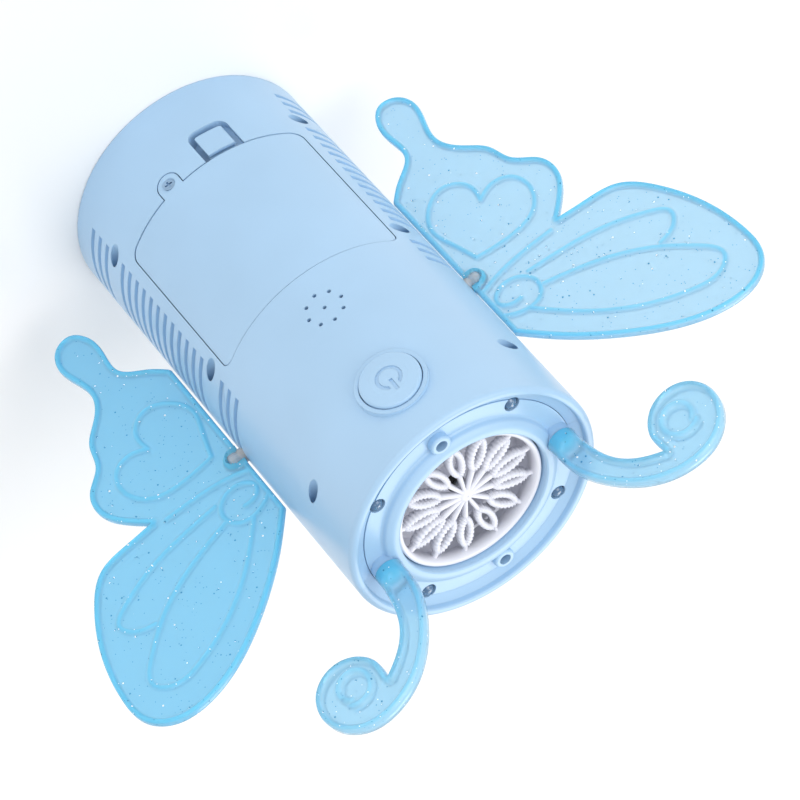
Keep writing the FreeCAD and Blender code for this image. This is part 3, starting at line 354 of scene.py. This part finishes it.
FINISHES = {
    "casing_plastic": moulded(
        "casing_blue", CASING_BLUE, 0.36, soft_edges=0.00035, Coat_Weight=0.25, Coat_Roughness=0.22,
    ),
    "white_plastic": moulded("wheel_white", (0.86, 0.87, 0.94), 0.30, 0.02, 0.015),
    "inner_plastic": moulded("inner_grey", (0.66, 0.68, 0.72), 0.5),
    "cell_wrap": moulded("cell_wrap", (0.03, 0.05, 0.07), 0.3, 0.01),
    "board_green": moulded("board_green", (0.02, 0.14, 0.05), 0.4, 0.05, 0.15),
    "chip_black": moulded("chip_black", (0.02, 0.02, 0.022), 0.5, 0.06),
    "seal_rubber": moulded("seal_rubber", (0.015, 0.015, 0.015), 0.7, 0.1),
    "zinc_screw": metal("zinc_screw", (0.66, 0.67, 0.70), 0.3),
    "motor_steel": metal("motor_steel", (0.55, 0.56, 0.58), 0.34),
    "brass_gear": metal("brass_gear", (0.72, 0.52, 0.20), 0.3),
    "clear_plastic": clear_plastic("clear_plastic", (0.96, 0.98, 1.0), 0.12),
    "glitter_blue": glitter_plastic("glitter_wing", PANEL_BLUE, RIM_BLUE, 0.65, 1.5, 0.62),
}
# Deeper, less clear copy of the wing plastic for the +X wing: painted shade.
PAINTED_SHADE_WING_GLITTER = glitter_plastic("glitter_wing_painted_shade", PAINTED_SHADE_PANEL_BLUE, RIM_BLUE, 0.65, 1.5, 0.52)
# LED lens finish: epoxy with painted glints and painted shade.
LED_RESIN_PAINTED_LIGHT = led_resin_painted_light("led_resin_painted_light")
TUB_PLASTIC = moulded("tub_lavender", (0.84, 0.85, 0.92), 0.35, 0.02, 0.02)
ANTENNA_GLITTER = glitter_plastic("glitter_antenna", ANTENNA_BLUE, RIM_BLUE, 1.4, 4.0, 0.56)
# Blue-grey screw head: painted shade, standing in for the shaded blue hole the head sits down in.
PAINTED_SHADE_SCREW = metal("screw_painted_shade", (0.36, 0.51, 0.68), 0.4)


# The cover screw's finish here is painted shade.
OWN_FINISHES = {"led_lenses": LED_RESIN_PAINTED_LIGHT, "bubble_tub": TUB_PLASTIC, "cover_screw": PAINTED_SHADE_SCREW}


def give(piece, material):
    piece.data.materials.clear()
    piece.data.materials.append(material)


def stand_in(piece, material, body, node):
    """Lets a piece ride a body in place of a CAD node."""
    give(piece, material)
    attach(piece, body)
    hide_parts(node)


def finish_cad_nodes():
    """Puts a finish into the slots of every CAD node."""
    for part in frame["record"]["subparts"]:
        piece = frame["nodes"][part["node"]]
        finish = OWN_FINISHES.get(part["node"])
        for slot in piece.material_slots:
            slot.material = finish or FINISHES[part["material_slot"]]


# ---- Butterfly wings ----

LARGE_LOBE = [
    (-44.8, 130.4), (-54.2, 142.0), (-69.0, 156.0), (-84.0, 166.3), (-100.0, 171.8), (-111.5, 170.6),
    (-118.6, 164.2), (-120.5, 152.0), (-118.0, 135.5), (-110.8, 117.9), (-101.2, 107.0), (-90.0, 104.8),
    (-80.6, 103.9),
]
LOWER_LOBE = [
    (-80.6, 103.9), (-86.8, 97.2), (-91.1, 89.5), (-89.8, 79.5), (-83.4, 72.5), (-80.6, 63.5), (-74.0, 55.5),
    (-70.2, 48.0), (-71.4, 38.5), (-73.0, 29.0), (-69.3, 21.9), (-63.6, 20.7), (-58.9, 26.0), (-58.1, 36.5),
    (-57.8, 45.5), (-50.3, 52.5), (-44.8, 58.3),
]
WING_VEINS = [
    [(-45.3, 110.4), (-52.0, 108.2), (-63.0, 106.5), (-76.0, 106.2)],
    [(-53.7, 125.7), (-66.8, 141.0), (-80.1, 151.6), (-94.6, 158.4), (-105.5, 159.2), (-110.0, 155.0),
     (-105.1, 145.4), (-95.1, 136.0), (-80.1, 127.4), (-62.5, 121.5)],
    [(-98.2, 136.5), (-105.1, 133.8), (-107.6, 129.0), (-101.8, 123.5), (-85.0, 117.0), (-61.6, 113.9)],
    [(-46.2, 122.4), (-52.1, 125.5), (-58.9, 124.7), (-61.5, 118.6), (-57.3, 113.0), (-50.3, 113.0),
     (-47.5, 117.0), (-51.0, 120.5), (-54.2, 120.6)],
    [(-52.6, 97.0), (-64.8, 98.2), (-75.9, 95.5), (-81.0, 86.4), (-78.0, 78.0), (-72.0, 76.4), (-66.5, 78.8)],
    [(-66.5, 78.8), (-66.6, 70.8), (-60.1, 65.4), (-52.0, 69.2), (-47.9, 77.8), (-49.6, 86.0), (-52.6, 97.0)],
]
MESH_SPACING, EDGE_INSETS = 0.5, (0.1, 0.25, 0.5, 0.8, 1.2, 1.6, 2.0)
WEB_HALF, RIM_HALF, RIB_HALF, EDGE_ROUND = 0.7, 1.55, 1.28, 0.7
RIM_WIDTH, RIB_WIDTH, EDGE_HALF = 2.3, 1.25, 0.35
PEG_HEIGHT, SLEEVE_LENGTH, SLEEVE_RADIUS, PEG_BORE = 103.5, 2.4, 4.05, 2.66
WINDOW_HALF, WINDOW_LENGTH, BORE_LENGTH = 2.8, 2.3, 5.0
WING_ROOT, ROOT_EASE, ROOT_LOW, ROOT_HIGH = -44.85, 3.0, 58, 130


def wing_loop():
    """Wing outline: the two lobes and the straight root that closes them."""
    large = smooth_curve(LARGE_LOBE, 260)
    lower = smooth_curve(LOWER_LOBE, 320)
    root = np.linspace(lower[-1], large[0], 110)
    return np.vstack([large[:-1], lower[:-1], root[:-1]])


def rim_profile(edge_gap, web, rim, width):
    """Half thickness near an edge: a small radius, a rounded bead and a soft fall to the web."""
    bead = np.clip(edge_gap / width, 0, 1)
    rise = np.sqrt(np.clip(1 - (1 - np.clip(edge_gap / EDGE_ROUND, 0, 1)) ** 2, 0, 1))
    top = web + (rim - web) * (0.5 + 0.5 * np.cos(math.pi * np.clip((bead - 0.45) / 0.55, 0, 1)))
    return EDGE_HALF + (top - EDGE_HALF) * rise


def wing(side, node):
    """Webbed wing with a beaded rim, raised veins and a sleeve round its peg."""
    loop = wing_loop()
    veins = [smooth_curve(points, 70) for points in WING_VEINS]
    closed = np.vstack([loop, loop[:1]])

    def faces_at(places):
        edge = distance_to(places, closed)
        near_root = np.clip((places[:, 0] - WING_ROOT + ROOT_EASE) / ROOT_EASE, 0, 1)
        root_side = near_root * (places[:, 1] > ROOT_LOW) * (places[:, 1] < ROOT_HIGH)
        height = rim_profile(edge, WEB_HALF, RIM_HALF - 0.35 * root_side, RIM_WIDTH)
        for vein in veins:
            ridge = WEB_HALF + (RIB_HALF - WEB_HALF) * bump_up(distance_to(places, vein), RIB_WIDTH)
            height = np.where(edge > EDGE_ROUND, np.maximum(height, ridge), height)
        out = WING_ROOT - places[:, 0]
        across = places[:, 1] - PEG_HEIGHT
        past_sleeve = np.maximum(out - SLEEVE_LENGTH, 0)
        swell = np.sqrt(np.clip(SLEEVE_RADIUS ** 2 - across ** 2 - past_sleeve ** 2, 0, None))
        closed_side = np.maximum(height, swell)
        in_window = np.hypot(across, np.maximum(out - WINDOW_LENGTH, 0)) < WINDOW_HALF
        bore = np.sqrt(np.clip(PEG_BORE ** 2 - across ** 2, 0, None)) * (out < BORE_LENGTH)
        return np.where(in_window, -bore, closed_side), closed_side

    piece = relief_plate("butterfly_" + node, loop, faces_at, MESH_SPACING, EDGE_INSETS + (2.4,))
    if side > 0:
        mirror_x(piece)
    # The +X wing takes the deeper copy of the same plastic as painted shade.
    stand_in(piece, PAINTED_SHADE_WING_GLITTER if side > 0 else FINISHES["glitter_blue"], node, node)


def mirror_x(piece):
    build = bmesh.new()
    build.from_mesh(piece.data)
    for corner in build.verts:
        corner.co.x = -corner.co.x
    bmesh.ops.reverse_faces(build, faces=build.faces)
    build.to_mesh(piece.data)
    build.free()


# ---- Curled antennae ----

ANTENNA_OUTER = [
    (-4.6, 177.0), (-4.0, 184.6), (0.0, 195.0), (6.2, 203.5), (14.5, 210.0), (24.0, 213.1), (33.5, 212.3),
    (41.2, 206.3), (43.6, 199.0), (40.8, 190.7), (33.5, 186.9), (24.7, 189.2), (20.3, 195.5), (20.4, 203.0),
]
ANTENNA_INNER = [(20.4, 203.0), (15.0, 199.8), (9.5, 194.4), (6.4, 187.9), (5.1, 181.3), (4.6, 177.0)]
CURL_MIDDLE, CURL_RADIUS = (30.3, 197.4), 5.2
CURL_START, CURL_TIGHTEN, CURL_RISE, CURL_HALF = 0.9, (0.9, -0.7), 1.1, 1.7
ANTENNA_FOOT, SOCKET_ACROSS, ANTENNA_TURN = 173.5, 33.0, math.radians(8.5)
FOOT_LOW, FOOT_RADIUS, STEM_HALF, STEM_LOW = 173.55, 4.85, 4.6, 177.0
FOOT_HEIGHT, BLEND_START, BLEND_LENGTH = 5.0, 3.0, 6.0
STEM_WEB, STEM_RIM, STEM_RIM_WIDTH = 1.45, 2.65, 2.5


def antenna(side, node):
    """Curled antenna with a beaded rim, a round foot and a ring in its curl."""
    outer = smooth_curve(ANTENNA_OUTER, 260)
    inner = smooth_curve(ANTENNA_INNER, 90)
    start = np.linspace((STEM_HALF, STEM_LOW), (FOOT_RADIUS, FOOT_LOW), 12)
    sole = np.linspace((FOOT_RADIUS, FOOT_LOW), (-FOOT_RADIUS, FOOT_LOW), 36)
    finish = np.linspace((-FOOT_RADIUS, FOOT_LOW), (-STEM_HALF, STEM_LOW), 12)
    loop = np.vstack([outer[:-1], inner[:-1], start[:-1], sole[:-1], finish[:-1]])
    rims = np.vstack([outer, inner])
    around = np.linspace(0, 2 * math.pi, 80) + CURL_START
    reach = CURL_RADIUS + np.linspace(*CURL_TIGHTEN, 80)
    curl = np.array(CURL_MIDDLE) + np.stack([reach * np.cos(around), reach * np.sin(around)], 1)

    def faces_at(places):
        edge = distance_to(places, rims)
        body = rim_profile(edge, STEM_WEB, STEM_RIM, STEM_RIM_WIDTH)
        ring = STEM_WEB + CURL_RISE * bump_up(distance_to(places, curl), CURL_HALF) * (edge > 1.5)
        body = np.maximum(body, ring)
        height = np.clip(places[:, 1] - ANTENNA_FOOT, 0, None)
        past_foot = np.clip(height - FOOT_HEIGHT, 0, None)
        stand = np.sqrt(np.clip(FOOT_RADIUS ** 2 - places[:, 0] ** 2 - past_foot ** 2, 0.3, None))
        low = np.clip((height - BLEND_START) / BLEND_LENGTH, 0, 1)
        blend = low * low * (3 - 2 * low)
        mixed = np.maximum(body * blend + stand * (1 - blend), body * blend)
        shape = np.where(height < BLEND_START, stand, mixed)
        return shape, shape

    piece = relief_plate("curled_" + node, loop, faces_at, MESH_SPACING, EDGE_INSETS + (2.5,))
    turn = Quaternion((0, 0, 1), ANTENNA_TURN + (math.pi if side < 0 else 0))
    for corner in piece.data.vertices:
        corner.co = turn @ corner.co + Vector((side * SOCKET_ACROSS * MM, 0, 0))
    stand_in(piece, ANTENNA_GLITTER, node, node)


# ---- Wing pegs ----

PEG_FLUTES, FLUTE_DEPTH = 14, 0.09
PEG_PROFILE = [
    (39.6, 0.02), (39.6, 4.2), (41.4, 4.2), (41.4, 2.6), (45.2, 2.6), (45.5, 2.25), (46.2, 2.25), (46.6, 2.6),
    (48.5, 2.6), (49.1, 2.3), (49.45, 1.6), (49.5, 0.02),
]


def wing_peg(side, node):
    """Clear peg with fine flutes along it, a snap groove and a rounded end."""
    build = bmesh.new()
    rows = []
    count = PEG_FLUTES * 8
    for reach, radius in PEG_PROFILE:
        row = []
        for n in range(count):
            turn = 2 * math.pi * n / count
            flute = FLUTE_DEPTH * (1 - abs(math.cos(0.5 * PEG_FLUTES * turn))) if 44 < reach < 49.3 else 0
            held = radius - flute
            height = PEG_HEIGHT + held * math.sin(turn)
            row.append(build.verts.new((side * reach * MM, held * math.cos(turn) * MM, height * MM)))
        rows.append(row)
    for row, after in zip(rows, rows[1:]):
        for n in range(count):
            build.faces.new((row[n - 1], row[n], after[n], after[n - 1]))
    build.faces.new(rows[0])
    build.faces.new(rows[-1])
    bmesh.ops.recalc_face_normals(build, faces=build.faces)
    mesh = bpy.data.meshes.new("fluted_" + node)
    build.to_mesh(mesh)
    build.free()
    mesh.shade_smooth()
    piece = bpy.data.objects.new("fluted_" + node, mesh)
    bpy.context.scene.collection.objects.link(piece)
    stand_in(piece, FINISHES["clear_plastic"], "casing", node)


# ---- Wand wheel ----

PETALS, LOOP_START, LOOP_END, LOOP_HALF = 13, 9.6, 22.4, 2.85
LOOP_STEPS, STEPS_PER_RIB, RIB_RISE, LOOP_WALL = 132, 6, 0.17, 0.86
WHEEL_RIM = [
    (25.9, 165.8), (25.9, 170.3), (25.65, 170.8), (25.2, 171.0), (24.6, 170.9), (24.2, 170.5), (24.0, 169.4),
    (23.9, 165.8),
]
WHEEL_HUB = [(0.01, 165.6), (2.6, 165.6), (2.6, 168.3), (2.2, 168.9), (1.3, 169.2), (0.01, 169.3)]
SPOKE_SECTION = ((-1, 166.6), (1, 166.6), (1, 168.2), (0.5, 168.85), (-0.5, 168.85), (-1, 168.2))


def ring_of(build, centres, normals, sections):
    """Joins one section of corners after another round a closed path."""
    rows = []
    for centre, normal, section in zip(centres, normals, sections):
        rows.append([
            build.verts.new(((centre[0] + normal[0] * a) * MM, (centre[1] + normal[1] * a) * MM, b * MM))
            for a, b in section
        ])
    for row, after in zip(rows, rows[1:] + rows[:1]):
        for n in range(len(row)):
            build.faces.new((row[n], row[n - 1], after[n - 1], after[n]))


def looped_wand(build, angle, width):
    """Bubble loop whose wall swells into small ribs, on a spoke that narrows to the hub."""
    turn = np.array([[math.cos(angle), -math.sin(angle)], [math.sin(angle), math.cos(angle)]])
    around = np.linspace(0, 2 * math.pi, LOOP_STEPS, endpoint=False)
    middle, reach = 0.5 * (LOOP_START + LOOP_END), 0.5 * (LOOP_END - LOOP_START) - 0.9
    along = middle + reach * np.cos(around)
    across = (width - 0.9) * np.sign(np.sin(around)) * np.abs(np.sin(around)) ** 1.15
    path = np.stack([along, across], 1)
    ahead = np.roll(path, -1, axis=0) - np.roll(path, 1, axis=0)
    ahead /= np.linalg.norm(ahead, axis=1)[:, None]
    out = np.stack([ahead[:, 1], -ahead[:, 0]], 1)
    sections = []
    for n in range(LOOP_STEPS):
        rib = RIB_RISE * math.cos(2 * math.pi * (n % STEPS_PER_RIB) / STEPS_PER_RIB)
        wall = LOOP_WALL + rib
        sections.append([
            (-wall, 165.9), (wall, 165.9), (wall, 168.5 + rib), (0.62 * wall, 169.15 + rib), (0, 169.3 + rib),
            (-0.62 * wall, 169.15 + rib), (-wall, 168.5 + rib),
        ])
    ring_of(build, path @ turn.T, out @ turn.T, sections)
    spoke = (0.6, LOOP_START + 0.9, 0.55, 0.8)
    tip = (LOOP_END - 0.9, 24.6, 0.7, 0.6)
    for start, stop, half_start, half_stop in (spoke, tip):
        rows = []
        for share in np.linspace(0, 1, 6):
            place = turn @ np.array([start + share * (stop - start), 0])
            side = turn @ np.array([0, 1])
            half = half_start + share * (half_stop - half_start)
            rows.append([
                build.verts.new((*((place + side * a * half) * MM), b * MM)) for a, b in SPOKE_SECTION
            ])
        for row, after in zip(rows, rows[1:]):
            for n in range(6):
                build.faces.new((row[n - 1], row[n], after[n], after[n - 1]))
        build.faces.new(rows[0])
        build.faces.new(rows[-1][::-1])


def lathe(build, profile, steps):
    """Closed ring turned about Z from (radius, height) corners."""
    around = np.linspace(0, 2 * math.pi, steps, endpoint=False)
    centres = [(0, 0)] * steps
    ring_of(build, centres, [(math.cos(t), math.sin(t)) for t in around], [profile] * steps)


def wand_wheel():
    """Rim, hub and looped wands in one piece."""
    build = bmesh.new()
    for number in range(PETALS):
        looped_wand(build, math.pi + number * 2 * math.pi / PETALS, LOOP_HALF + 0.15 * math.cos(2.4 * number))
    lathe(build, WHEEL_RIM, 128)
    lathe(build, WHEEL_HUB, 48)
    bmesh.ops.recalc_face_normals(build, faces=build.faces)
    mesh = bpy.data.meshes.new("looped_wheel")
    build.to_mesh(mesh)
    build.free()
    mesh.shade_smooth()
    piece = bpy.data.objects.new("looped_wheel", mesh)
    bpy.context.scene.collection.objects.link(piece)
    stand_in(piece, FINISHES["white_plastic"], "wand_wheel", "wand_wheel")


# ---- Studio ----

def area_light(name, place, target, width, power):
    data = bpy.data.lights.new(name, "AREA")
    data.shape = "DISK"
    data.size = width
    data.energy = power
    lamp = bpy.data.objects.new(name, data)
    lamp.location = place
    lamp.rotation_mode = "QUATERNION"
    lamp.rotation_quaternion = (Vector(target) - Vector(place)).to_track_quat("-Z", "Y")
    bpy.context.scene.collection.objects.link(lamp)


def studio():
    """Three soft lamps and an even white surround."""
    middle = (0, 0, 0.09)
    area_light("key", (-0.6, -0.5, 1.7), middle, 1.5, 13)
    area_light("fill", (0.5, -1.4, 0.9), middle, 1.0, 3)
    area_light("back", (-0.3, 1.3, 1.1), middle, 0.9, 6)
    world = bpy.data.worlds.new("studio_air")
    world.use_nodes = True
    backdrop = world.node_tree.nodes["Background"]
    backdrop.inputs["Color"].default_value = (1.0, 1.0, 1.0, 1)
    backdrop.inputs["Strength"].default_value = 0.72
    bpy.context.scene.world = world
    bpy.context.scene.view_settings.view_transform = "Standard"


def floor():
    """Large pale floor under the drum."""
    mesh = bpy.data.meshes.new("floor")
    reach = 6.0
    corners = [(-reach, -reach, 0), (reach, -reach, 0), (reach, reach, 0), (-reach, reach, 0)]
    mesh.from_pydata(corners, [], [(0, 1, 2, 3)])
    piece = bpy.data.objects.new("floor", mesh)
    bpy.context.scene.collection.objects.link(piece)
    give(piece, moulded("floor_paper", (0.97, 0.97, 0.97), 0.8, 0.02, 0.003, 900.0))


def camera():
    """Long lens, high on the service side, rolled so that the drum lies across the picture."""
    data = bpy.data.cameras.new("camera")
    data.sensor_width = 36.0
    data.lens = 170.07
    data.clip_end = 50
    view = bpy.data.objects.new("camera", data)
    place, aim = Vector((0.11524, -0.92114, 0.84539)), Vector((-0.01038, 0.04800, 0.086))
    roll = math.radians(138.42)
    view.location = place
    view.rotation_mode = "QUATERNION"
    view.rotation_quaternion = (aim - place).to_track_quat("-Z", "Y") @ Quaternion((0, 0, 1), roll)
    bpy.context.scene.collection.objects.link(view)
    bpy.context.scene.camera = view


finish_cad_nodes()
for side, hand in ((-1, "left"), (1, "right")):
    wing(side, "wing_" + hand)
for side, hand in ((-1, "left"), (1, "right")):
    antenna(side, "antenna_" + hand)
for side, hand in ((-1, "left"), (1, "right")):
    wing_peg(side, "wing_peg_" + hand)
wand_wheel()
floor()
studio()
camera()
